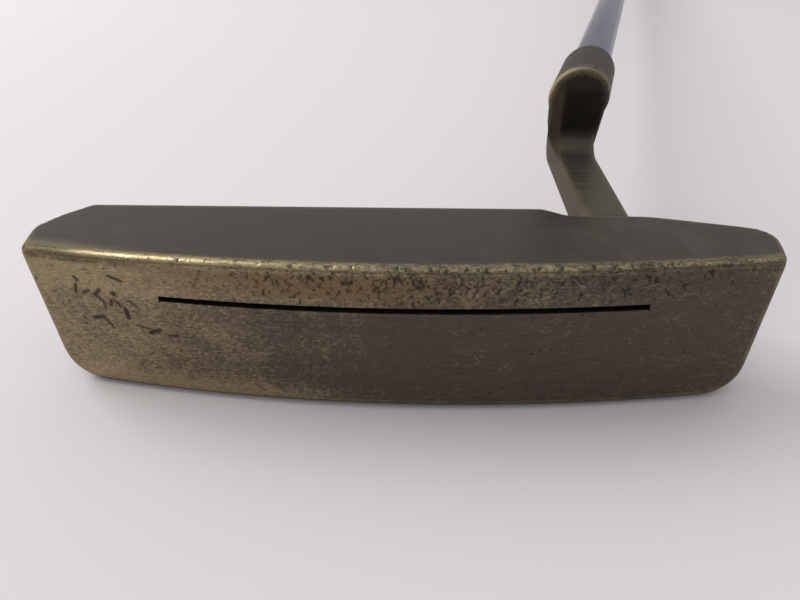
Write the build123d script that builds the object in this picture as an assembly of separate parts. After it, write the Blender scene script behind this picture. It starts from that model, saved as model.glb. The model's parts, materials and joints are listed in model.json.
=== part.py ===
"""Blade putter: a heel-and-toe weighted cast bronze head with a bent "plumber's" neck, a stepped steel shaft
and a pistol grip. The club lies on its back with the strike face up, as on a table.

Head frame, in which everything is drawn (millimetres):
    +X from toe to heel, +Y up the blade from sole to topline, +Z the way the face looks.
    The middle of the leading edge is at the origin.
Shaft frame: local Z runs up the shaft from the underside of the hosel barrel, local X points to the toe side
    (the grip's flat), and local Y is the way the face looks.
The last step lays the whole club down: it tips the head frame until the back of the head and the butt of the
grip touch the floor together, and puts the origin on the floor under the middle of the club.
"""
from build123d import *
from math import asin, cos, pi, radians, degrees, sin, sqrt, tan
import os

# ---------------------------------------------------------------- head
LOFT = 4.0               # the face leans back from the shaft's plane, degrees
LIE_LEAN = 16.0          # the shaft leans to the heel from upright, degrees (a lie of 74)
FACE_HEIGHT = 24.4       # sole to topline
SOLE_DEPTH = 28.6        # leading edge to the back of the flange
CAMBER_RADIUS = 328.0    # heel-to-toe roll of the sole
SOLE_HALF = 60.1         # half the length of the sole
TOE_POINT = (-62.7, 13.4)   # widest place of the toe
TOE_POINT_RADIUS = 4.0
TOE_SHOULDER = (-60.9, 19.1)
TOE_TOP = (-56.9, FACE_HEIGHT)
TOE_TOP_RADIUS = 2.2
HEEL_POINT = (62.5, 13.5)
HEEL_POINT_RADIUS = 4.0
HEEL_SHOULDER = (60.8, 16.8)
HEEL_SHOULDER_RADIUS = 3.5
SHELF_HEIGHT = 21.5      # the heel's topline, where the neck stands
SHELF_END_X = 44.0
SHELF_END_RADIUS = 20.0
STEP_TOP_X = 26.4        # the topline steps down beside the neck
STEP_FOOT_X = 30.2
STEP_RADIUS = 2.6

BLADE_THICKNESS = 5.0    # face plate
FACE_EDGE_RADIUS = 1.2   # all round the strike face, the leading edge with it
SOLE_EDGE_RADIUS = 1.8
BACK_CORNER_RADIUS = 6.0
TOP_EDGE_RADIUS = 0.8

# weights, flange and cavity behind the face plate
WEIGHT_HEIGHT = 14.6     # at the face plate
FLANGE_HEIGHT = 7.6
TOP_FALL = 7.0           # weights and flange fall away to the back, degrees
FLANGE_TOE_X = -27.0     # foot of the slope from the flange up to each weight
FLANGE_HEEL_X = 24.0
WEIGHT_SLOPE_RUN = 7.5
WEIGHT_RIDGE_RADIUS = 2.0
TROUGH_FLOOR = 3.9       # the trough behind the face plate, over the sole slot
TROUGH_BACK_Z = -11.0

SLOT_Z = -7.75           # saw slot through the sole
SLOT_WIDTH = 1.05
SLOT_TOE_X = -37.3
SLOT_HEEL_X = 40.3
SLOT_DEPTH = 5.4

SIGHT_WIDTH, SIGHT_LENGTH, SIGHT_DEPTH = 1.1, 11.0, 0.5   # alignment groove on the flange
SIGHT_MIDDLE_Z = -20.0
SIGHT_PAINT_DEPTH = 0.35

# ---------------------------------------------------------------- neck and hosel
POST_LEFT_X, POST_RIGHT_X = 33.6, 41.7
POST_FRONT_Z, POST_BACK_Z = -2.6, -8.5
POST_FOOT_Y = 12.0       # buried in the heel weight
ELBOW_HEIGHT = 55.7      # underside of the neck's forward run
RUN_THICKNESS = 11.6
ELBOW_INNER_RADIUS = 5.0
ELBOW_OUTER_RADIUS = 4.5
NECK_EDGE_RADIUS = 1.0
POST_END_Z = 3.2         # the upright's own forward end, inside the run
# the run's underside from below, as (x, z): toe side from the elbow to the barrel, then the heel side back
RUN_OUTLINE = [(33.8, -4.8), (31.5, -0.2), (30.9, 3.5), (30.7, 8.46), (43.2, 8.46), (41.7, POST_FRONT_Z),
               (40.0, -4.8)]
RUN_BEND_RADIUS = 4.0
# the slope that blends the upright's toe side into the wider run, through these three points
BLEND_POINTS = [(POST_LEFT_X, 48.0, POST_FRONT_Z), (POST_LEFT_X, ELBOW_HEIGHT, -5.5),
                (31.4, ELBOW_HEIGHT, 0.5)]
BARREL_FOOT = (36.95, ELBOW_HEIGHT, 8.46)
BARREL_RADIUS = 6.25
BARREL_LENGTH = 22.8
BARREL_RIM_RADIUS = 0.5
BARREL_FOOT_RADIUS = 1.2
BORE_DEPTH = 19.6
BORE_RADIUS = 4.82

# ---------------------------------------------------------------- shaft, grip and what joins them
CLUB_LENGTH = 889.0      # 35 in, along the shaft from the ground to the butt
TIP_RADIUS = 4.70        # 0.370 in
BUTT_RADIUS = 7.37       # 0.580 in
TIP_WALL, BUTT_WALL = 0.75, 0.45
FIRST_STEP = 185.0       # above the barrel's underside
STEP_COUNT = 11
STEP_PITCH = 33.0
STEP_TAPER = 1.5         # length of the little cone at each step
TIP_GAP = 0.25           # epoxy under the shaft's tip
BEAD_HEIGHT, BEAD_WIDTH = 0.6, 0.55   # epoxy squeezed out round the shaft at the barrel's mouth

BAND_START, BAND_LENGTH, BAND_FOIL = 529.0, 24.0, 0.1

GRIP_LENGTH = 262.0      # rubber body, without its cap
CAP_THICKNESS = 5.0
CAP_EDGE_RADIUS = 2.0
CAP_PLUG_DEPTH = 4.0     # spigot of the cap inside the shaft's open end
VENT_RADIUS = 1.25
RECESS_RADIUS = 3.5      # the vent widens inside the spigot, and a little way into the cap
RECESS_INTO_CAP = 0.5
TAPE = 0.25
TAPE_INSET = 6.0         # the tape stops short of the grip's mouth
# share of the grip's length, distance of the flat and of the belly from the shaft's axis, half width
GRIP_SECTIONS = [
    (0.00, 8.5, 8.5, 8.6),
    (0.12, 9.2, 9.6, 9.6),
    (0.36, 10.2, 11.4, 11.0),
    (0.62, 11.2, 13.6, 12.2),
    (0.84, 11.8, 17.0, 13.0),
    (0.95, 12.0, 19.3, 13.3),
    (1.00, 12.0, 19.8, 13.3),
]
FLAT_SQUARENESS, BELLY_SQUARENESS = 3.6, 2.2   # exponents of the section's two halves
SECTION_POINTS = 24

FAR = 200.0
SHAFT_DIRECTION = Vector(sin(radians(LIE_LEAN)), cos(radians(LIE_LEAN)), 0)
RIDGE_TOE_X = FLANGE_TOE_X - WEIGHT_SLOPE_RUN
RIDGE_HEEL_X = FLANGE_HEEL_X + WEIGHT_SLOPE_RUN
TOEWARD = Vector(-cos(radians(LIE_LEAN)), sin(radians(LIE_LEAN)), 0)
SHAFT_FRAME = Plane(origin=BARREL_FOOT, x_dir=TOEWARD, z_dir=SHAFT_DIRECTION)
BUTT = CLUB_LENGTH - ELBOW_HEIGHT / cos(radians(LIE_LEAN))   # end of the club, up the shaft frame
SHAFT_TIP = BARREL_LENGTH - BORE_DEPTH + TIP_GAP
SHAFT_END = BUTT - CAP_THICKNESS
GRIP_START = SHAFT_END - GRIP_LENGTH
TAPE_RADIUS = BUTT_RADIUS + TAPE


def sole_y(x):
    """Height of the rolled sole at x."""
    return CAMBER_RADIUS - sqrt(CAMBER_RADIUS**2 - x**2)


def round_corner(face, corner, radius):
    """Round the corner of a flat face that is nearest to the point given."""
    vertex = face.vertices().sort_by_distance(Vector(*corner, 0))[0]
    return fillet(vertex, radius)


def blade_outline():
    """Front view of the blade: rolled sole, bulged toe and heel, topline with its step beside the neck."""
    toe_foot = (-SOLE_HALF, sole_y(SOLE_HALF))
    heel_foot = (SOLE_HALF, sole_y(SOLE_HALF))
    face = make_face([
        ThreePointArc(toe_foot, (0, 0), heel_foot),
        Line(heel_foot, HEEL_POINT),
        Line(HEEL_POINT, HEEL_SHOULDER),
        Line(HEEL_SHOULDER, (SHELF_END_X, SHELF_HEIGHT)),
        Line((SHELF_END_X, SHELF_HEIGHT), (STEP_FOOT_X, SHELF_HEIGHT)),
        Line((STEP_FOOT_X, SHELF_HEIGHT), (STEP_TOP_X, FACE_HEIGHT)),
        Line((STEP_TOP_X, FACE_HEIGHT), TOE_TOP),
        ThreePointArc(TOE_TOP, TOE_SHOULDER, TOE_POINT),
        Line(TOE_POINT, toe_foot),
    ])
    face = round_corner(face, HEEL_POINT, HEEL_POINT_RADIUS)
    face = round_corner(face, HEEL_SHOULDER, HEEL_SHOULDER_RADIUS)
    face = round_corner(face, (SHELF_END_X, SHELF_HEIGHT), SHELF_END_RADIUS)
    face = round_corner(face, (STEP_FOOT_X, SHELF_HEIGHT), STEP_RADIUS)
    face = round_corner(face, (STEP_TOP_X, FACE_HEIGHT), STEP_RADIUS)
    face = round_corner(face, TOE_TOP, TOE_TOP_RADIUS)
    return round_corner(face, TOE_POINT, TOE_POINT_RADIUS)


def face_plane(depth=0.0):
    """The plane of the strike face, moved back into the blade by depth."""
    return Plane.XY.rotated((-LOFT, 0, 0)).offset(-depth)


def above_weights():
    """What is cut away behind the face plate: everything above the weights and the flange between them."""
    profile = make_face(Polyline(
        (-FAR, WEIGHT_HEIGHT),
        (RIDGE_TOE_X, WEIGHT_HEIGHT),
        (FLANGE_TOE_X, FLANGE_HEIGHT),
        (FLANGE_HEEL_X, FLANGE_HEIGHT),
        (RIDGE_HEEL_X, WEIGHT_HEIGHT),
        (FAR, WEIGHT_HEIGHT),
        (FAR, FAR),
        (-FAR, FAR),
        close=True,
    ))
    fall = Vector(0, -sin(radians(TOP_FALL)), -cos(radians(TOP_FALL)))
    cutter = extrude(profile, FAR, dir=fall)
    return split(cutter, face_plane(BLADE_THICKNESS), keep=Keep.BOTTOM)


def trough():
    """The milled trough behind the face plate, down to just over the sole, which the slot opens into."""
    toe_x = FLANGE_TOE_X - WEIGHT_SLOPE_RUN * 0.75
    heel_x = FLANGE_HEEL_X + WEIGHT_SLOPE_RUN * 0.75
    depth = -TROUGH_BACK_Z
    block = Pos((toe_x + heel_x) / 2, TROUGH_FLOOR, 0) * Box(
        heel_x - toe_x, WEIGHT_HEIGHT, depth, align=(Align.CENTER, Align.MIN, Align.MAX))
    return split(block, face_plane(BLADE_THICKNESS), keep=Keep.BOTTOM)


def blade():
    """The blade with its weights, flange and trough, its edges rounded in the order in which they meet."""
    body = extrude(blade_outline(), -SOLE_DEPTH)
    body = split(body, face_plane(), keep=Keep.BOTTOM)
    body -= above_weights()
    body = fillet(body.edges().filter_by(is_back_corner), BACK_CORNER_RADIUS)
    body = fillet(body.edges().filter_by(is_sole_edge), SOLE_EDGE_RADIUS)
    body = fillet(body.edges().filter_by(is_face_edge), FACE_EDGE_RADIUS)
    body -= trough()
    body = fillet(body.edges().filter_by(is_weight_ridge), WEIGHT_RIDGE_RADIUS)
    body = fillet(body.edges().filter_by(is_flange_corner), WEIGHT_RIDGE_RADIUS)
    return fillet(body.edges().filter_by(is_back_top_edge), TOP_EDGE_RADIUS)


def is_back_corner(edge):
    """Whether an edge is one of the two upright corners at the back."""
    middle = edge.center()
    return abs(middle.X) > SOLE_HALF and abs(middle.Z + SOLE_DEPTH) < 0.1


def is_sole_edge(edge):
    """Whether an edge bounds the sole at its toe, heel or back."""
    middle, box = edge.center(), edge.bounding_box()
    behind_face = middle.Z < -1.5
    return behind_face and box.max.Y < sole_y(SOLE_HALF) + 1.0 and (middle.Y < 0.5 or abs(middle.X) > 40)


def is_face_edge(edge):
    """Whether an edge bounds the strike face."""
    middle, box = edge.center(), edge.bounding_box()
    return box.max.Z > -2 and abs(middle.Z + middle.Y * tan(radians(LOFT))) < 0.05


def is_weight_ridge(edge):
    """Whether an edge is the ridge between a weight's top and the slope down to the flange."""
    middle = edge.center()
    at_ridge = min(abs(middle.X - RIDGE_TOE_X), abs(middle.X - RIDGE_HEEL_X)) < 0.2
    return at_ridge and edge.length > SOLE_DEPTH / 2


def is_flange_corner(edge):
    """Whether an edge is the inside corner between the flange and a slope."""
    middle = edge.center()
    at_foot = min(abs(middle.X - FLANGE_TOE_X), abs(middle.X - FLANGE_HEEL_X)) < 0.2
    return at_foot and edge.length > SOLE_DEPTH / 3


def is_back_top_edge(edge):
    """Whether an edge bounds the flat back at its top."""
    middle = edge.center()
    return abs(middle.Z + SOLE_DEPTH) < 0.05 and middle.Y > SOLE_EDGE_RADIUS + 0.5 and abs(middle.X) < 50


def neck_side():
    """Side view of the upright, local X the way the face looks, with its elbow and the start of the run."""
    side = make_face(Polyline(
        (POST_FRONT_Z, POST_FOOT_Y),
        (POST_FRONT_Z, ELBOW_HEIGHT),
        (POST_END_Z, ELBOW_HEIGHT),
        (POST_END_Z, ELBOW_HEIGHT + RUN_THICKNESS),
        (POST_BACK_Z, ELBOW_HEIGHT + RUN_THICKNESS),
        (POST_BACK_Z, POST_FOOT_Y),
        close=True,
    ))
    side = round_corner(side, (POST_FRONT_Z, ELBOW_HEIGHT), ELBOW_INNER_RADIUS)
    return round_corner(side, (POST_BACK_Z, ELBOW_HEIGHT + RUN_THICKNESS), ELBOW_OUTER_RADIUS)


def upright():
    """The upright with its elbow as one bar, swelling on the toe side to the width of the run."""
    foot, back, front = (Vector(*point) for point in BLEND_POINTS)
    side = Plane(origin=(front.X, 0, 0), x_dir=(0, 0, 1), z_dir=(-1, 0, 0)) * neck_side()
    bar = extrude(side, POST_RIGHT_X - front.X, dir=(1, 0, 0))
    heel_edges = bar.edges().filter_by(lambda e: e.center().X > POST_RIGHT_X - 0.1)
    heel_edges = heel_edges.filter_by(lambda e: e.bounding_box().max.Y > POST_FOOT_Y + 0.1)
    bar = fillet(heel_edges, NECK_EDGE_RADIUS)
    spare = Pos(POST_LEFT_X, 0, 0) * Box(FAR, FAR, FAR, align=(Align.MAX, Align.CENTER, Align.CENTER))
    slope = Plane(origin=foot, x_dir=back - foot, z_dir=(front - foot).cross(back - foot))
    bar -= split(spare, slope, keep=Keep.TOP)
    lean = Plane(origin=(front.X, ELBOW_HEIGHT, 0), x_dir=(0, 0, 1), z_dir=TOEWARD)
    above_left = (Align.MAX, Align.MIN, Align.CENTER)
    spare_top = Pos(POST_LEFT_X, ELBOW_HEIGHT, 0) * Box(FAR, FAR, FAR, align=above_left)
    bar -= split(spare_top, lean, keep=Keep.TOP)
    return bar


def run():
    """The run forward from the elbow, widening to the barrel and leaning to the heel with it."""
    outline = make_face(Polyline(*RUN_OUTLINE, close=True))
    for bend in RUN_OUTLINE[1:3]:
        outline = round_corner(outline, bend, RUN_BEND_RADIUS)
    underside = Plane(origin=(0, ELBOW_HEIGHT, 0), x_dir=(1, 0, 0), z_dir=(0, -1, 0)) * outline
    length = RUN_THICKNESS / cos(radians(LIE_LEAN))
    block = extrude(underside, length, dir=SHAFT_DIRECTION)
    level = block.edges().filter_by(lambda e: e.bounding_box().size.Y < 0.01)
    toe_and_heel = level.filter_by(lambda e: e.bounding_box().size.X < 4 and e.bounding_box().size.Z > 0.5)
    return fillet(toe_and_heel, NECK_EDGE_RADIUS)


def barrel():
    """The hosel barrel, leaning with the shaft: its foot, level with the neck, is rounded, and so is its rim."""
    start = -BARREL_RADIUS
    tube = SHAFT_FRAME * Pos(0, 0, start) * Cylinder(
        BARREL_RADIUS, BARREL_LENGTH - start, align=(Align.CENTER, Align.CENTER, Align.MIN))
    tube = split(tube, Plane.XZ.offset(-ELBOW_HEIGHT), keep=Keep.BOTTOM)
    rim = tube.edges().sort_by(Axis.Y)[-1]
    tube = fillet(rim, BARREL_RIM_RADIUS)
    foot = tube.edges().sort_by(Axis.Y)[0]
    return fillet(foot, BARREL_FOOT_RADIUS)


def slot():
    """The saw slot through the sole into the trough, blind where it runs on under the weights."""
    return Pos((SLOT_TOE_X + SLOT_HEEL_X) / 2, SLOT_DEPTH, SLOT_Z) * Box(
        SLOT_HEEL_X - SLOT_TOE_X, FAR / 4, SLOT_WIDTH, align=(Align.CENTER, Align.MAX, Align.CENTER))


def flange_top(z):
    """Height of the flange's top at z."""
    return FLANGE_HEIGHT + z * tan(radians(TOP_FALL))


def sight_bar(bottom, top):
    """A bar along the sight line, between two heights measured from the flange's top."""
    middle = Plane(origin=(0, flange_top(SIGHT_MIDDLE_Z), SIGHT_MIDDLE_Z), x_dir=(1, 0, 0),
                   z_dir=(0, cos(radians(TOP_FALL)), -sin(radians(TOP_FALL))))
    return middle * Pos(0, 0, bottom) * Box(
        SIGHT_WIDTH, SIGHT_LENGTH, top - bottom, align=(Align.CENTER, Align.CENTER, Align.MIN))


def head():
    """The whole casting."""
    body = blade() + upright() + run() + barrel()
    bore = SHAFT_FRAME * Pos(0, 0, BARREL_LENGTH - BORE_DEPTH) * Cylinder(
        BORE_RADIUS, FAR, align=(Align.CENTER, Align.CENTER, Align.MIN))
    return body - bore - slot() - sight_bar(-SIGHT_DEPTH, 1.0)


def turned(points):
    """A solid turned about the shaft's axis from points given as (radius, height up the shaft)."""
    profile = Plane.XZ * make_face(Polyline(*points, close=True))
    return SHAFT_FRAME * revolve(profile, Axis.Z)


def shaft():
    """The steel tube: parallel tip, steps up to the butt's diameter, open bore inside with a thin wall."""
    rise = (BUTT_RADIUS - TIP_RADIUS) / STEP_COUNT
    thinning = (TIP_WALL - BUTT_WALL) / STEP_COUNT
    outside, inside = [(TIP_RADIUS, SHAFT_TIP)], [(TIP_RADIUS - TIP_WALL, SHAFT_TIP)]
    for step in range(STEP_COUNT):
        height = FIRST_STEP + step * STEP_PITCH
        for share, up in ((0, 0), (1, STEP_TAPER)):
            radius = TIP_RADIUS + rise * (step + share)
            wall = TIP_WALL - thinning * (step + share)
            outside.append((radius, height + up))
            inside.append((radius - wall, height + up))
    outside.append((BUTT_RADIUS, SHAFT_END))
    inside.append((BUTT_RADIUS - BUTT_WALL, SHAFT_END))
    return turned(outside + inside[::-1])


def hosel_epoxy():
    """The glue: a disc under the tip, the film round it and the bead squeezed out at the barrel's mouth."""
    floor = BARREL_LENGTH - BORE_DEPTH
    return turned([
        (0, floor),
        (BORE_RADIUS, floor),
        (BORE_RADIUS, BARREL_LENGTH),
        (TIP_RADIUS + BEAD_WIDTH, BARREL_LENGTH),
        (TIP_RADIUS, BARREL_LENGTH + BEAD_HEIGHT),
        (TIP_RADIUS, SHAFT_TIP),
        (0, SHAFT_TIP),
    ])


def sleeve(inner, outer, start, end):
    """A plain sleeve round the shaft."""
    return turned([(inner, start), (outer, start), (outer, end), (inner, end)])


def grip_section(share, flat, belly, half_width):
    """One section of the grip: a squarish half towards the flat and a rounder half towards the belly."""
    points = []
    for step in range(SECTION_POINTS):
        angle = 2 * pi * (step + 0.5) / SECTION_POINTS
        across, along = sin(angle), cos(angle)
        reach, power = (flat, FLAT_SQUARENESS) if along > 0 else (belly, BELLY_SQUARENESS)
        size = (abs(along)**power + abs(across)**power)**(-1 / power)
        points.append((reach * along * size, half_width * across * size))
    outline = make_face(Spline(*points, periodic=True))
    return Pos(0, 0, GRIP_START + share * GRIP_LENGTH) * outline


def grip():
    """The rubber body, bored for the taped shaft, snug on the bare shaft at its mouth."""
    body = SHAFT_FRAME * loft([grip_section(*row) for row in GRIP_SECTIONS])
    body -= sleeve(0, TAPE_RADIUS, GRIP_START + TAPE_INSET, SHAFT_END + 1)
    return body - sleeve(0, BUTT_RADIUS, GRIP_START - 1, GRIP_START + TAPE_INSET + 1)


def grip_cap():
    """The moulded cap that closes the butt, with its spigot in the shaft's end and the vent hole."""
    cap = extrude(grip_section(*GRIP_SECTIONS[-1]), CAP_THICKNESS, dir=(0, 0, 1))
    cap = SHAFT_FRAME * fillet(cap.faces().sort_by(Axis.Z)[-1].edges(), CAP_EDGE_RADIUS)
    cap += sleeve(0, BUTT_RADIUS - BUTT_WALL, SHAFT_END - CAP_PLUG_DEPTH, SHAFT_END + 1)
    cap -= sleeve(0, RECESS_RADIUS, SHAFT_END - CAP_PLUG_DEPTH - 1, SHAFT_END + RECESS_INTO_CAP)
    return cap - sleeve(0, VENT_RADIUS, SHAFT_END, BUTT + 1)


def nodes():
    """Every piece of the club in the head frame, by its node's name."""
    return {
        "putter_head": head(),
        "sight_line_paint": sight_bar(-SIGHT_DEPTH, SIGHT_PAINT_DEPTH - SIGHT_DEPTH),
        "hosel_epoxy": hosel_epoxy(),
        "shaft": shaft(),
        "shaft_band": sleeve(BUTT_RADIUS, BUTT_RADIUS + BAND_FOIL, BAND_START, BAND_START + BAND_LENGTH),
        "grip_tape": sleeve(BUTT_RADIUS, TAPE_RADIUS, GRIP_START + TAPE_INSET, SHAFT_END),
        "grip": grip(),
        "grip_cap": grip_cap(),
    }


def lowest(shape, tip):
    """Height of a shape's lowest point after the head frame is tipped about X."""
    return (Rot(-tip, 0, 0) * shape).bounding_box().min.Z


def lying_tip(pieces):
    """How far the club tips, in degrees, for the head and the butt to touch the floor together."""
    reach = pieces["grip"].bounding_box().max.Y
    tip = 0.0
    for _ in range(4):
        tip += degrees(asin((lowest(pieces["grip"], tip) - lowest(pieces["putter_head"], tip)) / reach))
    return tip


if __name__ == "__main__":
    pieces = nodes()
    tip = lying_tip(pieces)
    laid = {name: Rot(-tip, 0, 0) * piece for name, piece in pieces.items()}
    box = Compound(list(laid.values())).bounding_box()
    place = Pos(-(box.min.X + box.max.X) / 2, -(box.min.Y + box.max.Y) / 2, -box.min.Z)
    os.makedirs("parts", exist_ok=True)
    for name, piece in laid.items():
        export_step(place * piece, f"parts/{name}.step")
    face_middle = place * Rot(-tip, 0, 0) * Pos(0, FACE_HEIGHT / 2, -FACE_HEIGHT / 2 * tan(radians(LOFT)))
    vent = place * Rot(-tip, 0, 0) * SHAFT_FRAME.location * Pos(0, 0, BUTT)
    print("tip", round(tip, 3), "size", box.size)
    print("face middle", face_middle.position, "normal", Plane(face_middle * Rot(-LOFT, 0, 0)).z_dir)
    print("vent", vent.position, "axis", Plane(vent).z_dir)
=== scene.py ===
"""A blade putter lying on its back on a pale table, strike face up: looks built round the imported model."""
import bpy
import bmesh
from math import atan2, cos, exp, hypot, pi, radians, sin, tan
from random import Random
from mathutils import Matrix, Vector
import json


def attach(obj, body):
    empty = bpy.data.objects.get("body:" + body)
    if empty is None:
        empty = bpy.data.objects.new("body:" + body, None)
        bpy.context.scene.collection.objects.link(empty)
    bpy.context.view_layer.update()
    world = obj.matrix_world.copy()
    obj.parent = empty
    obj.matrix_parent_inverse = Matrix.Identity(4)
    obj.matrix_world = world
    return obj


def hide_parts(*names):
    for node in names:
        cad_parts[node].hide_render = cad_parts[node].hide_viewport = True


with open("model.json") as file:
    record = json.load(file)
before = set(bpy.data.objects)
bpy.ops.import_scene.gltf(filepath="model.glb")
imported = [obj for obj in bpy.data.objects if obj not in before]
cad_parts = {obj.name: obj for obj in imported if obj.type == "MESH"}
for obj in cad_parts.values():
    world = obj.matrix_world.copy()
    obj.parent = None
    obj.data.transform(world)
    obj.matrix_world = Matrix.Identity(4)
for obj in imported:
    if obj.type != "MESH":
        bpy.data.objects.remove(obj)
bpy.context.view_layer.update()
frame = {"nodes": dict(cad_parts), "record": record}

LOFT = radians(4.0)
LIE_LEAN = radians(16.0)
FACE_HEIGHT = 0.0244
BARREL_FOOT = Vector((0.03695, 0.0557, 0.00846))
MM = 0.001
mounts = {mount["name"]: mount for mount in frame["record"]["mounts"]}
face_axis = mounts["strike_face"]["axis"]
TIP = atan2(face_axis[1], face_axis[2]) - LOFT
half_up_face = Vector((0, FACE_HEIGHT / 2, -FACE_HEIGHT / 2 * tan(LOFT)))
HEAD_TURN = Matrix.Rotation(-TIP, 4, "X")
HEAD = Matrix.Translation(Vector(mounts["strike_face"]["pos_m"]) - HEAD_TURN @ half_up_face) @ HEAD_TURN
shaft_way = Vector((sin(LIE_LEAN), cos(LIE_LEAN), 0))
toe_way = Vector((-cos(LIE_LEAN), sin(LIE_LEAN), 0))
shaft_axes = Matrix((toe_way, Vector((0, 0, 1)), shaft_way)).transposed().to_4x4()
SHAFT = HEAD @ Matrix.Translation(BARREL_FOOT) @ shaft_axes


def new_tree(name, kind):
    """A material's or a group's node tree, with a short way to add a node with its values and links."""
    tree = bpy.data.node_groups.new(name, "ShaderNodeTree") if kind == "group" else kind

    def add(node_kind, inputs=None, **settings):
        made = tree.nodes.new("ShaderNode" + node_kind)
        for setting, value in settings.items():
            setattr(made, setting, value)
        for socket, value in (inputs or {}).items():
            if isinstance(value, bpy.types.NodeSocket):
                tree.links.new(value, made.inputs[socket])
            else:
                made.inputs[socket].default_value = value
        return made

    return tree, add


def ramp(add, value, low, high, out_low=0.0, out_high=1.0):
    """A value carried smoothly from one range to another."""
    span = {0: value, 1: low, 2: high, 3: out_low, 4: out_high}
    return add("MapRange", span, interpolation_type="SMOOTHSTEP").outputs[0]


def calc(add, operation, first, second=0.0, third=0.0, **settings):
    return add("Math", {0: first, 1: second, 2: third}, operation=operation, **settings).outputs[0]


def product(add, *masks):
    """Several masks multiplied together."""
    so_far = masks[0]
    for mask in masks[1:]:
        so_far = calc(add, "MULTIPLY", so_far, mask)
    return so_far


def mix_colour(add, share, first, second):
    return add("Mix", {"Factor": share, 6: first, 7: second}, data_type="RGBA").outputs[2]


def new_finish(name, **shine):
    """A material with its shader, the numbers that are the same all over it set on the shader itself."""
    material = bpy.data.materials.new(name)
    material.use_nodes = True
    shader = material.node_tree.nodes["Principled BSDF"]
    for socket, value in shine.items():
        shader.inputs[socket.replace("_", " ")].default_value = value
    _, add = new_tree(name, material.node_tree)
    return material, shader, add


def place_in(add, axes):
    """Object coordinates turned into the head's or the shaft's own axes, in millimetres."""
    here = add("TexCoord").outputs["Object"]
    return add("Mapping", {"Vector": here, "Location": axes.to_translation(), "Rotation": axes.to_euler(),
                           "Scale": (MM, MM, MM)}, vector_type="TEXTURE").outputs[0]


def feed(material, shader, **sources):
    """Link values to the shader's sockets."""
    for socket, source in sources.items():
        material.node_tree.links.new(source, shader.inputs[socket.replace("_", " ")])


# ---------------------------------------------------------------- The camera
# A phone held close over the head, from the side of the sole, looking up along the shaft.
CAMERA_PLACE = Vector((0.00705, -0.07227, 0.04529))
CAMERA_DOWN, CAMERA_TURN, CAMERA_ROLL = radians(35.06), radians(-4.07), radians(-1.23)
CAMERA_LENS = 26.19

camera_data = bpy.data.cameras.new("camera")
camera_data.lens = CAMERA_LENS
camera_data.sensor_width = 36.0
camera_data.clip_start = 0.002
camera_data.clip_end = 20.0
camera = bpy.data.objects.new("camera", camera_data)
bpy.context.scene.collection.objects.link(camera)
camera.matrix_world = (
    HEAD @ Matrix.Translation(CAMERA_PLACE)
    @ Matrix.Rotation(-CAMERA_TURN, 4, "Z")
    @ Matrix.Rotation(radians(90) - CAMERA_DOWN, 4, "X")
    @ Matrix.Rotation(CAMERA_ROLL, 4, "Z")
)
bpy.context.scene.camera = camera
bpy.context.scene.view_settings.view_transform = "Standard"

# ---------------------------------------------------------------- The bronze head
# One casting of bronze: blade, weights, flange, bent neck and hosel barrel, its sole sawn through by a slot. It
# has gone brown in the air, and handling and turf have rubbed it back to brass along the leading edge, over the
# toe end of the sole and round the corners. Its dings are pressed into the metal here, with dirt in them.
# Some light and shade is painted into its colour too: painted shade on the neck's underside, in the slot, along
# the trailing edge, under the leading edge and at its toe end; a painted sheen above that edge at the toe; a
# lit brown on the toe side of the neck; and painted highlights along the leading edge and round the barrel's
# foot.
BRASS = (0.46, 0.38, 0.22, 1)
WORN_BRASS = (0.25, 0.20, 0.125, 1)
SOLE_BROWN = (0.086, 0.068, 0.054, 1)
FACE_BROWN = (0.067, 0.057, 0.050, 1)
NECK_GREEN = (0.082, 0.076, 0.060, 1)
SLOT_Z, SLOT_TOE, SLOT_HEEL = -7.75, -37.3, 40.3
# near black: dirt in the dings, pecks and hollows, and also painted shade under the neck, in the slot and along
# the trailing edge
DIRT_AND_SHADE_BLACK = (0.012, 0.010, 0.008, 1)
SOLE_ROLL = 656.0                  # twice the radius of the rolled sole, mm
SLICE_X, SLICE_Y, SLICE_Z = 0.0008, 0.0012, 0.0008
EDGE_ROUND = 0.0014                # a corner this round or tighter counts as a full edge
CHATTER, SCRATCHES, NICKS, DEEP_DINGS = 640, 170, 60, 18
SMUDGE_BROWN = (0.050, 0.040, 0.031, 1)
FACE_GREEN = (0.070, 0.074, 0.052, 1)
RIDGE_HIGHLIGHT_BROWN = (0.125, 0.098, 0.062, 1)
POST_SIDE_LIT_BROWN = (0.088, 0.070, 0.046, 1)
BARREL_BROWN = (0.050, 0.044, 0.036, 1)
STREAK_DARK, STREAK_LIGHT = (0.25, 0.20, 0.126, 1), (0.46, 0.375, 0.215, 1)
UNDER_EDGE_SHADE_BROWN = (0.085, 0.068, 0.040, 1)
OVER_EDGE_SHEEN_TAN = (0.235, 0.195, 0.125, 1)
TOE_END_SHADE_BRASS = (0.085, 0.070, 0.043, 1)
SCRATCH_BRASS = (0.30, 0.25, 0.17, 1)
WARM_BROWN = (0.185, 0.118, 0.060, 1)


def curving(vertex):
    """How sharply the surface turns at a vertex: above 0 round an edge, below 0 in a hollow."""
    turns = []
    for edge in vertex.link_edges:
        across = edge.other_vert(vertex)
        step = across.co - vertex.co
        turns.append((across.normal - vertex.normal).dot(step) / max(step.length_squared, 1e-12))
    return max(turns, key=abs) * EDGE_ROUND


def on_post_corner(edge):
    """Whether an edge is part of the sharp ridge up the toe side of the neck."""
    if any(not 0.0195 < vert.co.y < 0.0560 or not 0.0311 < vert.co.x < 0.0338 for vert in edge.verts):
        return False
    return edge.calc_face_angle(0) > radians(22)


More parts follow.
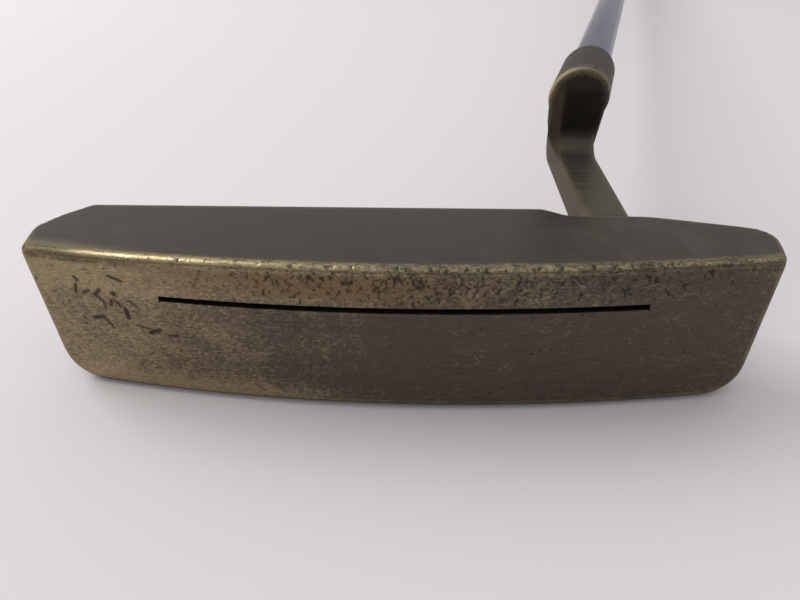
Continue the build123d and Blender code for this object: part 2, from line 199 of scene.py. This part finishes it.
bronze = bmesh.new()
bronze.from_mesh(frame["nodes"]["putter_head"].data)
bmesh.ops.remove_doubles(bronze, verts=bronze.verts, dist=2e-6)
bmesh.ops.transform(bronze, matrix=HEAD.inverted(), verts=bronze.verts)
ridge = [edge for edge in bronze.edges if on_post_corner(edge)]
bmesh.ops.bevel(bronze, geom=ridge, offset=0.0009, segments=4, profile=0.5, affect="EDGES", material=-1,
                clamp_overlap=True)
for way, low, high, pitch in (((1, 0, 0), -0.0625, 0.0622, SLICE_X), ((0, 0, 1), -0.0282, 0, SLICE_Z),
                              ((0, 1, 0), 0.0006, 0.080, SLICE_Y)):
    for step in range(int((high - low) / pitch)):
        everything = bronze.verts[:] + bronze.edges[:] + bronze.faces[:]
        cut = Vector(way) * (low + step * pitch)
        bmesh.ops.bisect_plane(bronze, geom=everything, dist=1e-6, plane_co=cut, plane_no=way)
bmesh.ops.triangulate(bronze, faces=bronze.faces)
on_sole = [edge for edge in bronze.edges
           if max(vert.co.y - vert.co.x ** 2 / (SOLE_ROLL * MM) for vert in edge.verts) < 0.0016
           and edge.calc_length() > 0.0005]
bmesh.ops.subdivide_edges(bronze, edges=on_sole, cuts=1, use_grid_fill=True)
bmesh.ops.triangulate(bronze, faces=bronze.faces)
ends = [vert for vert in bronze.verts
        if vert.co.y < 0.0225 and not -0.0560 < vert.co.x < 0.0570]
for _ in range(14):                 # the toe and heel are polished rounder than they were drawn
    bmesh.ops.smooth_vert(bronze, verts=ends, factor=0.5, use_axis_x=True, use_axis_y=True, use_axis_z=True)
bronze.normal_update()
edge_layer = bronze.verts.layers.float.new("edge")
hollow_layer = bronze.verts.layers.float.new("hollow")
ding_layer = bronze.verts.layers.float.new("ding")
for vert in bronze.verts:
    turn = curving(vert)
    vert[edge_layer] = min(max(turn, 0), 1)
    vert[hollow_layer] = min(max(-turn, 0), 1)

chance = Random(7)
dings = []                          # each is x, z, length and width in mm, turn in degrees, depth in mm
for _ in range(CHATTER):            # chatter between the leading edge and the slot, thickest towards the heel
    x = chance.triangular(-34, 56, 10)
    z = -chance.triangular(0.9, 7.0, 2.2)
    dings.append((x, z, chance.uniform(0.4, 1.4), chance.uniform(0.10, 0.26), 84 + chance.gauss(0, 30),
                  chance.uniform(0.05, 0.15)))
for _ in range(SCRATCHES):          # fine scratches and pecks over the toe end and the middle of the sole
    x = chance.triangular(-60, 30, -44)
    dings.append((x, -chance.uniform(1.5, 26), chance.uniform(0.5, 2.4), chance.uniform(0.10, 0.22),
                  chance.gauss(20, 55), chance.uniform(0.02, 0.08)))
for _ in range(NICKS):              # nicks bitten out of the leading edge itself
    x = chance.triangular(-40, 58, 26)
    dings.append((x, -chance.uniform(0.0, 0.7), chance.uniform(0.4, 1.0), chance.uniform(0.3, 0.5),
                  90 + chance.gauss(0, 25), chance.uniform(0.05, 0.14)))
for _ in range(DEEP_DINGS):         # deeper single dings, most of them in a patch towards the toe
    x, z = chance.gauss(-45, 6), -chance.uniform(3, 16)
    dings.append((x, z, chance.uniform(1.0, 3.4), chance.uniform(0.3, 0.8), chance.gauss(20, 40),
                  chance.uniform(0.08, 0.24)))

from mathutils.kdtree import KDTree
sole_verts = [vert for vert in bronze.verts
              if vert.normal.y < -0.3 and vert.co.y - vert.co.x ** 2 / (SOLE_ROLL * MM) < 0.0012]
finder = KDTree(len(sole_verts))
for index, vert in enumerate(sole_verts):
    finder.insert((vert.co.x, vert.co.z, 0), index)
finder.balance()
pressed = {}
for x, z, length, width, turn, depth in dings:
    middle = Vector((x * MM, z * MM, 0))
    along = Vector((cos(radians(turn)), sin(radians(turn)), 0))
    for place, index, _ in finder.find_range(middle, length * MM):
        offset = place - middle
        run = offset.dot(along) / (length * MM / 2)
        side = (offset - along * offset.dot(along)).length / (width * MM / 2 + 0.00006)
        pressed[index] = max(pressed.get(index, 0), depth * MM * exp(-run ** 4 - side ** 2))
for index, depth in pressed.items():
    vert = sole_verts[index]
    vert[ding_layer] = min(depth / 0.00009, 1)
    vert.co = vert.co - vert.normal * depth
for edge in bronze.edges:
    edge.smooth = edge.calc_face_angle(0) < radians(38)
for face in bronze.faces:
    face.smooth = True
bmesh.ops.transform(bronze, matrix=HEAD, verts=bronze.verts)
bronze_mesh = bpy.data.meshes.new("bronze_head")
bronze.to_mesh(bronze_mesh)
bronze.free()
bronze_head = bpy.data.objects.new("bronze_head", bronze_mesh)
bpy.context.scene.collection.objects.link(bronze_head)
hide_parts("putter_head")
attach(bronze_head, "root")

grain, add = new_tree("grain", "group")
grain.interface.new_socket("Place", in_out="INPUT", socket_type="NodeSocketVector")
grain.interface.new_socket("Pull", in_out="INPUT", socket_type="NodeSocketVector")
grain.interface.new_socket("Detail", in_out="INPUT", socket_type="NodeSocketFloat")
grain.interface.new_socket("Mask", in_out="OUTPUT", socket_type="NodeSocketFloat")
given, result = grain.nodes.new("NodeGroupInput"), grain.nodes.new("NodeGroupOutput")
pull = {0: given.outputs["Place"], 1: given.outputs["Pull"]}
pulled = add("VectorMath", pull, operation="MULTIPLY").outputs[0]
streaks = add("TexNoise", {"Vector": pulled, "Scale": 1.0, "Detail": given.outputs["Detail"],
                           "Roughness": 0.62})
grain.links.new(streaks.outputs["Fac"], result.inputs["Mask"])

specks, add = new_tree("specks", "group")
specks.interface.new_socket("Place", in_out="INPUT", socket_type="NodeSocketVector")
specks.interface.new_socket("Size", in_out="INPUT", socket_type="NodeSocketFloat")
specks.interface.new_socket("Share", in_out="INPUT", socket_type="NodeSocketFloat")
specks.interface.new_socket("Mask", in_out="OUTPUT", socket_type="NodeSocketFloat")
given, result = specks.nodes.new("NodeGroupInput"), specks.nodes.new("NodeGroupOutput")
fineness = calc(add, "DIVIDE", 1.0, given.outputs["Size"])
dots = add("TexNoise", {"Vector": given.outputs["Place"], "Scale": fineness, "Detail": 2.0, "Roughness": 0.5})
high = calc(add, "SUBTRACT", 1.0, given.outputs["Share"])
over = calc(add, "SUBTRACT", dots.outputs["Fac"], high)
specks.links.new(calc(add, "MULTIPLY", over, 12.0, use_clamp=True), result.inputs["Mask"])


def grain_mask(add, place, pull, detail=5.0):
    made = add("Group", node_tree=grain)
    made.id_data.links.new(place, made.inputs["Place"])
    made.inputs["Pull"].default_value = pull
    made.inputs["Detail"].default_value = detail
    return made.outputs["Mask"]


def speck_mask(add, place, size, share):
    made = add("Group", node_tree=specks)
    made.id_data.links.new(place, made.inputs["Place"])
    made.inputs["Size"].default_value = size
    made.inputs["Share"].default_value = share
    return made.outputs["Mask"]


def stored(add, name):
    return add("Attribute", attribute_name=name).outputs["Fac"]


bronze_finish, shader, add = new_finish("bronze_finish", Specular_Tint=(0.72, 0.68, 0.62, 1))
place = place_in(add, HEAD)
axes = add("SeparateXYZ", {0: place})
x, y, z = axes.outputs[0], axes.outputs[1], axes.outputs[2]
edge, hollow, ding = stored(add, "edge"), stored(add, "hollow"), stored(add, "ding")
lift = calc(add, "SUBTRACT", y, calc(add, "DIVIDE", calc(add, "MULTIPLY", x, x), SOLE_ROLL))
sole = ramp(add, lift, 2.4, 1.2)
behind_face = calc(add, "ADD", z, calc(add, "MULTIPLY", y, tan(LOFT)))
face = ramp(add, behind_face, -1.1, -0.2)
neck = ramp(add, y, 22.0, 27.0)
blotches = grain_mask(add, place, (0.07, 0.11, 0.11), 6.0)
patches = grain_mask(add, place, (0.30, 0.40, 0.40), 6.0)
brushed = grain_mask(add, place, (0.10, 2.2, 3.2), 5.0)
fine_brushed = grain_mask(add, place, (0.5, 7.0, 9.0), 3.0)
toe_share = ramp(add, x, -62.0, 10.0, 0.70, 0.08)
strip_share = calc(add, "MULTIPLY", ramp(add, z, -9.0, -6.0), ramp(add, x, 54.0, 4.0, 0.05, 0.31))
back_share = calc(add, "MULTIPLY", ramp(add, z, -22.0, -27.5), ramp(add, x, 4.0, -24.0, 0.10, 0.42))
heel_share = calc(add, "MULTIPLY", ramp(add, x, 50.0, 62.0), 0.14)
peppered = grain_mask(add, place, (1.3, 2.4, 2.4), 5.0)
broad = calc(add, "ADD", calc(add, "MULTIPLY", blotches, 0.7), calc(add, "MULTIPLY", patches, 0.6))
fine_and_broad = calc(add, "ADD", broad, calc(add, "MULTIPLY", peppered, 1.5))
noise_share = calc(add, "MULTIPLY_ADD", fine_and_broad, 0.9, -1.26)
shares = calc(add, "ADD", calc(add, "ADD", toe_share, strip_share), calc(add, "ADD", back_share, heel_share))
sole_rub = calc(add, "MULTIPLY", ramp(add, calc(add, "ADD", shares, noise_share), 0.12, 1.0), sole)
brown = mix_colour(add, face, SOLE_BROWN, FACE_BROWN)
smudge = calc(add, "MULTIPLY", ramp(add, grain_mask(add, place, (0.16, 0.10, 0.16), 5.0), 0.38, 0.56),
              ramp(add, x, 8.0, 34.0, 0.12, 0.75))
brown = mix_colour(add, calc(add, "MULTIPLY", smudge, face), brown, SMUDGE_BROWN)
greened = calc(add, "MULTIPLY", ramp(add, blotches, 0.50, 0.66), calc(add, "MULTIPLY", face, 0.25))
brown = mix_colour(add, greened, brown, FACE_GREEN)
neck_shade = ramp(add, y, 54.0, 60.0, 1.0, 0.34)
neck_brown = add("Mix", {"Factor": 1.0, 6: NECK_GREEN, 7: neck_shade}, data_type="RGBA",
                 blend_type="MULTIPLY")
brown = mix_colour(add, neck, brown, neck_brown.outputs[2])
# painted shade: the flat underside of the bent neck is painted near black, standing in for its dark reflection
# and shade
neck_underside_painted_shade = calc(add, "MULTIPLY", ramp(add, y, 56.0, 55.8), ramp(add, y, 54.6, 55.4))
neck_underside_painted_shade = calc(add, "MULTIPLY", neck_underside_painted_shade, ramp(add, z, -0.6, 2.6))
brown = mix_colour(add, calc(add, "MULTIPLY", neck_underside_painted_shade, 0.8), brown, DIRT_AND_SHADE_BLACK)
# painted highlight: a lighter brown strip up the ridge on the neck's toe side, where light from the left
# catches the rounded corner
post_edge_painted_highlight = product(add, neck, ramp(add, x, 35.8, 33.8), ramp(add, y, 58.0, 50.0))
brown = mix_colour(add, calc(add, "MULTIPLY", post_edge_painted_highlight, 0.7), brown, RIDGE_HIGHLIGHT_BROWN)
shade = ramp(add, brushed, 0.30, 0.72, 0.84, 1.16)
tone = add("Mix", {"Factor": 1.0, 6: brown, 7: shade}, data_type="RGBA", blend_type="MULTIPLY").outputs[2]
rubbed = mix_colour(add, ramp(add, fine_brushed, 0.30, 0.70), STREAK_DARK, STREAK_LIGHT)
rubbed = mix_colour(add, ramp(add, peppered, 0.40, 0.62, 0.55, 0.0), rubbed, WORN_BRASS)
# painted light: the toe side of the neck gets the warm brown it shows where the light from the left falls on
# it; it is also made matt
toe_side = product(add, neck, ramp(add, x, 34.4, 33.6), ramp(add, y, 64.0, 60.0))
tone = mix_colour(add, toe_side, tone, POST_SIDE_LIT_BROWN)
up_or_out = calc(add, "MAXIMUM", ramp(add, y, 66.0, 70.0), ramp(add, z, 9.0, 12.0))
on_barrel = calc(add, "MULTIPLY", neck, up_or_out)
tone = mix_colour(add, calc(add, "MULTIPLY", on_barrel, 0.7), tone, BARREL_BROWN)
matt = calc(add, "MAXIMUM", toe_side, calc(add, "MULTIPLY", on_barrel, 0.75))
colour = mix_colour(add, sole_rub, tone, rubbed)
edge_noise = ramp(add, patches, 0.34, 0.60, 0.35, 1.0)
edge_rub = calc(add, "MULTIPLY", ramp(add, edge, 0.30, 0.85), edge_noise)
on_lead = calc(add, "MULTIPLY", ramp(add, lift, 2.2, 1.0), ramp(add, z, -1.5, -0.5))
# the leading edge's brass is rubbed brass, kept fullest in a thin band along the edge as a painted highlight
highlight_band = calc(add, "MULTIPLY", ramp(add, lift, 0.10, 0.30), ramp(add, lift, 0.95, 0.60))
lead = calc(add, "MULTIPLY", on_lead, ramp(add, highlight_band, 0.0, 1.0, 0.34, 1.0))
speckled = calc(add, "MAXIMUM", ramp(add, x, 20.0, -20.0, 0.0, 0.62),
                ramp(add, peppered, 0.42, 0.60, 0.22, 1.0))
lead = calc(add, "MULTIPLY", lead, speckled)
# less brass towards the toe end: painted shade that dims the edge's highlight there
lead = calc(add, "MULTIPLY", lead, ramp(add, x, -60.0, -47.0, 0.30, 1.0))
lead_share = calc(add, "MULTIPLY", lead, ramp(add, x, 50.0, -20.0, 0.80, 1.0))
edge_share = calc(add, "MULTIPLY", edge_rub, calc(add, "ADD", 0.20, calc(add, "MULTIPLY", lead_share, 0.66)))
from_slot = calc(add, "ABSOLUTE", calc(add, "SUBTRACT", z, SLOT_Z))
barrel_foot = calc(add, "MULTIPLY", ramp(add, z, 6.0, 11.0), ramp(add, y, 62.0, 58.0))
kept = calc(add, "MAXIMUM", calc(add, "SUBTRACT", 1.0, calc(add, "MULTIPLY", neck, 0.88)), barrel_foot)
off_slot = calc(add, "MAXIMUM", ramp(add, from_slot, 0.8, 1.3), calc(add, "SUBTRACT", 1.0, sole))
edge_share = calc(add, "MULTIPLY", edge_share, calc(add, "MULTIPLY", kept, off_slot))
toe_end = ramp(add, x, -26.0, -50.0)
# painted shade: a dark olive band just under the leading edge towards the toe, standing in for the edge's dark
# reflection
under_edge_painted_shade = product(add, ramp(add, z, -2.6, -1.5), ramp(add, lift, 0.22, 0.08), toe_end,
                     ramp(add, patches, 0.34, 0.58, 0.35, 0.95))
colour = mix_colour(add, under_edge_painted_shade, colour, UNDER_EDGE_SHADE_BROWN)
# painted sheen: a soft tan band on the face above the leading edge at the toe, standing in for light on a
# rounder edge there
over_edge_painted_sheen = product(add, ramp(add, lift, 4.6, 0.7), face, ramp(add, x, -34.0, -57.0))
colour = mix_colour(add, calc(add, "MULTIPLY", over_edge_painted_sheen, 0.85), colour, OVER_EDGE_SHEEN_TAN)
colour = mix_colour(add, edge_share, colour, BRASS)
# painted shade: the toe end of the leading edge is darkened to dim its highlight, and is also made rougher
toe_end_painted_shade = calc(add, "MULTIPLY", on_lead, ramp(add, x, -44.0, -55.0, 0.0, 0.9))
colour = mix_colour(add, toe_end_painted_shade, colour, TOE_END_SHADE_BRASS)
# brass round the barrel's foot edge: rubbed brass, and a painted highlight along its lower front
barrel_ring_rub_and_highlight = calc(add, "MULTIPLY", ramp(add, edge, 0.55, 1.0), ramp(add, x, 40.0, 33.0, 0.20, 0.65))
barrel_ring_rub_and_highlight = calc(add, "MULTIPLY", calc(add, "MULTIPLY", barrel_ring_rub_and_highlight, barrel_foot), ramp(add, y, 57.8, 57.0))
barrel_ring_rub_and_highlight = calc(add, "MULTIPLY", barrel_ring_rub_and_highlight, ramp(add, y, 55.9, 56.3))
colour = mix_colour(add, barrel_ring_rub_and_highlight, colour, BRASS)
scratched = 0.0
for turn in (14, 62, -38):          # fine bright scratches, each set of lines at its own slant
    slanted = add("Mapping", {"Vector": place, "Rotation": (0, radians(turn), 0)}).outputs[0]
    lines = ramp(add, grain_mask(add, slanted, (0.22, 1.0, 4.5), 2.0), 0.665, 0.72)
    scratched = calc(add, "MAXIMUM", scratched, lines)
on_strip = calc(add, "MULTIPLY", ramp(add, z, -7.4, -6.6), ramp(add, x, -20.0, 0.0))
scratch_share = calc(add, "MAXIMUM", ramp(add, patches, 0.42, 0.62, 0.1, 0.6),
                     calc(add, "MULTIPLY", on_strip, 0.75))
scratched = calc(add, "MULTIPLY", scratched, calc(add, "MULTIPLY", sole, scratch_share))
colour = mix_colour(add, scratched, colour, SCRATCH_BRASS)
warm = product(add, ramp(add, z, -7.0, -5.0), ramp(add, x, -48.0, -24.0), ramp(add, x, 22.0, -8.0),
               ramp(add, z, -1.0, -2.0), ramp(add, blotches, 0.36, 0.56, 0.2, 0.7), sole)
colour = mix_colour(add, warm, colour, WARM_BROWN)
# painted shade: the sole's trailing edge, where the head rests on the table, is darkened as if in its contact
# shadow
trailing_edge_painted_shade = calc(add, "MULTIPLY", ramp(add, z, -27.2, -28.3), ramp(add, lift, 3.5, 1.5, 0.0, 0.72))
colour = mix_colour(add, trailing_edge_painted_shade, colour, DIRT_AND_SHADE_BLACK)
pecks = calc(add, "MULTIPLY", speck_mask(add, place, 0.55, 0.36), calc(add, "MULTIPLY", sole, 0.75))
hollow_dirt = calc(add, "MULTIPLY", hollow, calc(add, "SUBTRACT", 1.0, calc(add, "MULTIPLY", neck, 0.85)))
dirt_and_slot_shade = calc(add, "MAXIMUM", pecks, calc(add, "MAXIMUM", ramp(add, ding, 0.25, 1.0, 0, 0.76), hollow_dirt))
# painted shade: the slot's walls are darkened to near black, as a deep narrow slot would be in shade
slot_painted_shade = calc(add, "MULTIPLY", ramp(add, from_slot, 0.72, 0.56), ramp(add, lift, 0.10, 0.28))
slot_painted_shade = calc(add, "MULTIPLY", slot_painted_shade, ramp(add, lift, 6.4, 5.6))
slot_painted_shade = calc(add, "MULTIPLY", slot_painted_shade, calc(add, "MULTIPLY", ramp(add, x, SLOT_TOE - 0.6, SLOT_TOE - 0.2),
                                              ramp(add, x, SLOT_HEEL + 0.6, SLOT_HEEL + 0.2)))
dirt_and_slot_shade = calc(add, "MAXIMUM", dirt_and_slot_shade, slot_painted_shade)
colour = mix_colour(add, dirt_and_slot_shade, colour, DIRT_AND_SHADE_BLACK)
roughness = calc(add, "ADD", ramp(add, brushed, 0.3, 0.7, 0.34, 0.46), calc(add, "MULTIPLY", dirt_and_slot_shade, 0.3))
roughness = calc(add, "SUBTRACT", roughness, product(add, on_lead, highlight_band, 0.08))
roughness = calc(add, "ADD", roughness, calc(add, "MULTIPLY", toe_end_painted_shade, 0.18))
bare = calc(add, "MAXIMUM", sole_rub, edge_share)
metal = calc(add, "MULTIPLY", calc(add, "ADD", 0.62, calc(add, "MULTIPLY", bare, 0.38)),
             calc(add, "SUBTRACT", 1.0, calc(add, "MULTIPLY", dirt_and_slot_shade, 0.6)))
metal = calc(add, "MULTIPLY", metal, calc(add, "SUBTRACT", 1.0, calc(add, "MULTIPLY", matt, 0.9)))
roughness = calc(add, "ADD", roughness, calc(add, "MULTIPLY", matt, 0.2))
gloss = calc(add, "SUBTRACT", 0.5, calc(add, "MULTIPLY", matt, 0.38))
height = calc(add, "ADD", calc(add, "MULTIPLY", fine_brushed, 0.5), calc(add, "MULTIPLY", pecks, -1.0))
dimples = add("Bump", {"Strength": 0.35, "Distance": 0.00006, "Height": height}).outputs[0]
feed(bronze_finish, shader, Base_Color=colour, Roughness=roughness, Metallic=metal, Specular_IOR_Level=gloss,
     Normal=dimples)
bronze_mesh.materials.append(bronze_finish)

# ---------------------------------------------------------------- The shaft
# A stepped tube of chromed steel, glued into the barrel. The plating is bright, with fine polishing lines
# round it, a few rubbed places, and a thin dark line of dirt at the foot of each step.
FIRST_STEP, STEP_PITCH, STEP_TOTAL = 185.0, 33.0, 11
LAST_STEP = FIRST_STEP + STEP_PITCH * STEP_TOTAL
chrome_finish, shader, add = new_finish("chrome_finish", Metallic=1.0, Specular_Tint=(0.50, 0.51, 0.57, 1))
place = place_in(add, SHAFT)
up = add("SeparateXYZ", {0: place}).outputs[2]
rings = grain_mask(add, place, (0.06, 0.06, 2.4), 3.0)
rubs = grain_mask(add, place, (0.16, 0.16, 0.02), 5.0)
in_pitch = calc(add, "WRAP", calc(add, "SUBTRACT", up, FIRST_STEP), STEP_PITCH / 2, -STEP_PITCH / 2)
at_step = ramp(add, calc(add, "ABSOLUTE", in_pitch), 0.7, 0.15)
in_steps = calc(add, "MULTIPLY", ramp(add, up, FIRST_STEP - 3, FIRST_STEP - 2),
                ramp(add, up, LAST_STEP - 5, LAST_STEP - 8))
soil = calc(add, "MULTIPLY", calc(add, "MULTIPLY", at_step, in_steps), 0.6)
plating = mix_colour(add, ramp(add, rubs, 0.35, 0.7), (0.25, 0.255, 0.285, 1), (0.33, 0.335, 0.36, 1))
plating = mix_colour(add, soil, plating, (0.10, 0.09, 0.08, 1))
shine = calc(add, "ADD", ramp(add, rubs, 0.4, 0.72, 0.10, 0.24), calc(add, "MULTIPLY", soil, 0.4))
ripple = add("Bump", {"Strength": 0.12, "Distance": 0.00002, "Height": rings}).outputs[0]
feed(chrome_finish, shader, Base_Color=plating, Roughness=shine, Normal=ripple)
frame["nodes"]["shaft"].data.materials.clear()
frame["nodes"]["shaft"].data.materials.append(chrome_finish)

# ---------------------------------------------------------------- The glue
# Two-part epoxy, squeezed out in a thin bead where the shaft goes into the barrel, gone amber and dusty.
epoxy_finish, shader, add = new_finish("epoxy_finish", IOR=1.52)
cloud = grain_mask(add, place_in(add, SHAFT), (0.9, 0.9, 1.4), 4.0)
amber = mix_colour(add, ramp(add, cloud, 0.35, 0.65), (0.045, 0.036, 0.022, 1), (0.10, 0.085, 0.06, 1))
feed(epoxy_finish, shader, Base_Color=amber, Roughness=ramp(add, cloud, 0.3, 0.7, 0.25, 0.5))
frame["nodes"]["hosel_epoxy"].data.materials.clear()
frame["nodes"]["hosel_epoxy"].data.materials.append(epoxy_finish)

# ---------------------------------------------------------------- The sight line
# White enamel laid in the groove on top of the flange, chipped and greyed by use.
paint_finish, shader, add = new_finish("paint_finish")
place = place_in(add, HEAD)
chips = speck_mask(add, place, 0.5, 0.40)
greyed = mix_colour(add, ramp(add, grain_mask(add, place, (0.5, 0.5, 0.5)), 0.3, 0.7), (0.55, 0.53, 0.49, 1),
                    (0.74, 0.73, 0.70, 1))
greyed = mix_colour(add, chips, greyed, (0.12, 0.10, 0.08, 1))
feed(paint_finish, shader, Base_Color=greyed, Roughness=ramp(add, chips, 0, 1, 0.38, 0.7))
frame["nodes"]["sight_line_paint"].data.materials.clear()
frame["nodes"]["sight_line_paint"].data.materials.append(paint_finish)

# ---------------------------------------------------------------- The shaft band
# A blank foil label wrapped round the shaft below the grip: brushed silver between two dark printed rings.
BAND_START, BAND_LENGTH = 529.0, 24.0
foil_finish, shader, add = new_finish("foil_finish", Metallic=0.9)
place = place_in(add, SHAFT)
up = add("SeparateXYZ", {0: place}).outputs[2]
from_middle = calc(add, "ABSOLUTE", calc(add, "SUBTRACT", up, BAND_START + BAND_LENGTH / 2))
printed = calc(add, "MULTIPLY", ramp(add, from_middle, 7.4, 7.6), ramp(add, from_middle, 9.6, 9.4))
brushed = grain_mask(add, place, (0.1, 0.1, 4.0), 4.0)
silver = mix_colour(add, ramp(add, brushed, 0.3, 0.7), (0.46, 0.46, 0.47, 1), (0.62, 0.62, 0.62, 1))
silver = mix_colour(add, printed, silver, (0.03, 0.03, 0.035, 1))
feed(foil_finish, shader, Base_Color=silver, Roughness=ramp(add, brushed, 0.3, 0.7, 0.28, 0.42))
frame["nodes"]["shaft_band"].data.materials.clear()
frame["nodes"]["shaft_band"].data.materials.append(foil_finish)

# ---------------------------------------------------------------- The grip tape
# Double-sided paper tape under the rubber, as it would be seen if the grip were drawn off: cream and fibrous.
tape_finish, shader, add = new_finish("tape_finish")
fibres = grain_mask(add, place_in(add, SHAFT), (3.0, 3.0, 0.8), 5.0)
cream = mix_colour(add, ramp(add, fibres, 0.3, 0.7), (0.48, 0.43, 0.33, 1), (0.62, 0.57, 0.46, 1))
crepe = add("Bump", {"Strength": 0.4, "Distance": 0.00008, "Height": fibres}).outputs[0]
feed(tape_finish, shader, Base_Color=cream, Roughness=ramp(add, fibres, 0.3, 0.7, 0.75, 0.9), Normal=crepe)
frame["nodes"]["grip_tape"].data.materials.clear()
frame["nodes"]["grip_tape"].data.materials.append(tape_finish)

# ---------------------------------------------------------------- The grip
# Moulded rubber with a flat for the thumbs, a rolled lip at its mouth, fine grooves round its sides and belly,
# and rows of small pips along the flat. The closed butt is the cap, a harder rubber with the vent hole in it.
GRIP_START, GRIP_LENGTH = 0.56405, 0.262
BARE_RADIUS = 0.0080
GROOVE_PITCH, GROOVE_DEPTH = 0.0042, 0.00042
PIP_PITCH, PIP_HEIGHT = 0.0042, 0.00030
rubber = bmesh.new()
rubber.from_mesh(frame["nodes"]["grip"].data)
bmesh.ops.remove_doubles(rubber, verts=rubber.verts, dist=2e-6)
bmesh.ops.transform(rubber, matrix=SHAFT.inverted(), verts=rubber.verts)
for step in range(1, 262):
    everything = rubber.verts[:] + rubber.edges[:] + rubber.faces[:]
    bmesh.ops.bisect_plane(rubber, geom=everything, dist=1e-6, plane_no=(0, 0, 1),
                           plane_co=(0, 0, GRIP_START + step * 0.0010))
rubber.normal_update()
groove_layer = rubber.verts.layers.float.new("groove")
for vert in rubber.verts:
    out = hypot(vert.co.x, vert.co.y)
    along = vert.co.z - GRIP_START
    if out < BARE_RADIUS + 0.0001 or along < 0.0001 or along > GRIP_LENGTH - 0.0002:
        continue
    outward = Vector((vert.co.x, vert.co.y, 0)).normalized()
    past_mouth = min(max((along - 0.022) / 0.004, 0), 1)
    patterned = past_mouth * min(max((GRIP_LENGTH - 0.016 - along) / 0.004, 0), 1)
    on_flat = min(max((outward.x - 0.62) / 0.12, 0), 1)
    groove = max(0, cos(2 * pi * along / GROOVE_PITCH)) ** 3 * patterned * (1 - on_flat)
    lip = exp(-((along - 0.0022) / 0.0016) ** 2)
    pip = max(0, cos(2 * pi * along / PIP_PITCH)) ** 2 * max(0, cos(2 * pi * vert.co.y / PIP_PITCH)) ** 2
    swell = 0.0005 * lip - GROOVE_DEPTH * groove + PIP_HEIGHT * pip * patterned * on_flat
    vert[groove_layer] = groove
    vert.co = vert.co + outward * swell
for face in rubber.faces:
    face.smooth = True
for edge in rubber.edges:
    edge.smooth = edge.calc_face_angle(0) < radians(50)
bmesh.ops.transform(rubber, matrix=SHAFT, verts=rubber.verts)
rubber_mesh = bpy.data.meshes.new("rubber_grip")
rubber.to_mesh(rubber_mesh)
rubber.free()
rubber_grip = bpy.data.objects.new("rubber_grip", rubber_mesh)
bpy.context.scene.collection.objects.link(rubber_grip)
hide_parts("grip")
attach(rubber_grip, "root")


def rubber_finish(name, worn, dust):
    """Black rubber, greyed where hands have polished it, with pale dust held in its grooves."""
    material, shader, add = new_finish(name)
    place = place_in(add, SHAFT)
    polish = ramp(add, grain_mask(add, place, (0.05, 0.05, 0.03), 5.0), 0.38, 0.66)
    skin = mix_colour(add, polish, (0.012, 0.012, 0.012, 1), worn)
    settled = ramp(add, grain_mask(add, place, (0.6, 0.6, 0.6)), 0.4, 0.7)
    dusty = calc(add, "MULTIPLY", stored(add, "groove"), settled)
    skin = mix_colour(add, calc(add, "MULTIPLY", dusty, dust), skin, (0.16, 0.15, 0.13, 1))
    pores = grain_mask(add, place, (5, 5, 5), 3.0)
    stipple = add("Bump", {"Strength": 0.25, "Distance": 0.00006, "Height": pores}).outputs[0]
    feed(material, shader, Base_Color=skin, Roughness=ramp(add, polish, 0, 1, 0.66, 0.48), Normal=stipple)
    return material


rubber_mesh.materials.append(rubber_finish("grip_rubber_finish", (0.030, 0.029, 0.028, 1), 0.6))
cap_mesh = frame["nodes"]["grip_cap"].data
cap_mesh.materials.clear()
cap_mesh.materials.append(rubber_finish("cap_rubber_finish", (0.040, 0.039, 0.038, 1), 0.0))

# ---------------------------------------------------------------- The table and the light
# A matt, pale tabletop, and a room with large soft windows.
floor_mesh = bpy.data.meshes.new("table_top")
grid = bmesh.new()
bmesh.ops.create_grid(grid, x_segments=1, y_segments=1, size=8.0)
grid.to_mesh(floor_mesh)
grid.free()
table_top = bpy.data.objects.new("table_top", floor_mesh)
bpy.context.scene.collection.objects.link(table_top)
table_finish, shader, add = new_finish("table_finish", Roughness=0.75, Base_Color=(0.80, 0.755, 0.77, 1))
floor_mesh.materials.append(table_finish)

room = bpy.data.worlds.new("room")
room.use_nodes = True
_, add = new_tree("room", room.node_tree)
towards = add("SeparateXYZ", {0: add("TexCoord").outputs["Generated"]})
in_front = product(add, ramp(add, towards.outputs[1], -0.25, -0.70), ramp(add, towards.outputs[2], 0.75, 0.35))
walls = mix_colour(add, in_front, (1, 0.985, 0.985, 1), (0.22, 0.21, 0.21, 1))
room.node_tree.links.new(walls, room.node_tree.nodes["Background"].inputs["Color"])
room.node_tree.nodes["Background"].inputs["Strength"].default_value = 0.68
bpy.context.scene.world = room
window = bpy.data.lights.new("window", "AREA")
window.energy = 9.0
window.size = 0.8
window_object = bpy.data.objects.new("window", window)
bpy.context.scene.collection.objects.link(window_object)
WINDOW_PLACE = Vector((-1.02, -0.08, 0.95))
towards_head = (HEAD.to_translation() - WINDOW_PLACE).to_track_quat("-Z", "Y").to_matrix().to_4x4()
window_object.matrix_world = Matrix.Translation(WINDOW_PLACE) @ towards_head

# ---------------------------------------------------------------- The end
import json
